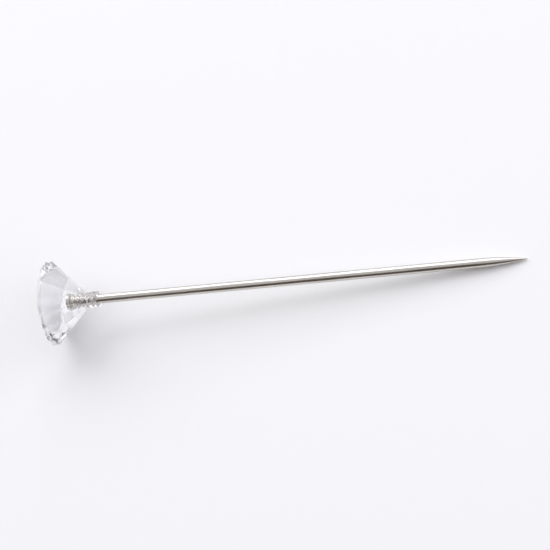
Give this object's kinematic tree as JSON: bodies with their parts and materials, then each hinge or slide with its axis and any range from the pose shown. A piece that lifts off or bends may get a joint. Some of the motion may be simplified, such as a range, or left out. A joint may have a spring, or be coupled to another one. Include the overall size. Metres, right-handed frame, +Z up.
{
  "type": "straight pin",
  "caption": "Straight sewing and florist pin: clear acrylic brilliant-cut head with a short collar, moulded on a plated steel wire shank that tapers to a sharp point.",
  "frame": {"origin": "on the surface the pin lies on, under the middle of its length", "axes": "+X along the pin from the head to the point, +Z up, +Y across"},
  "size_m": [0.042, 0.007, 0.007],
  "materials": {
    "clear_acrylic": "clear, moulded and polished, with sharp facets",
    "plated_steel": "bright nickel plate over drawn steel wire"
  },
  "bodies": {
    "root": {"head": "clear_acrylic", "shank": "plated_steel"}
  },
  "joints": []
}
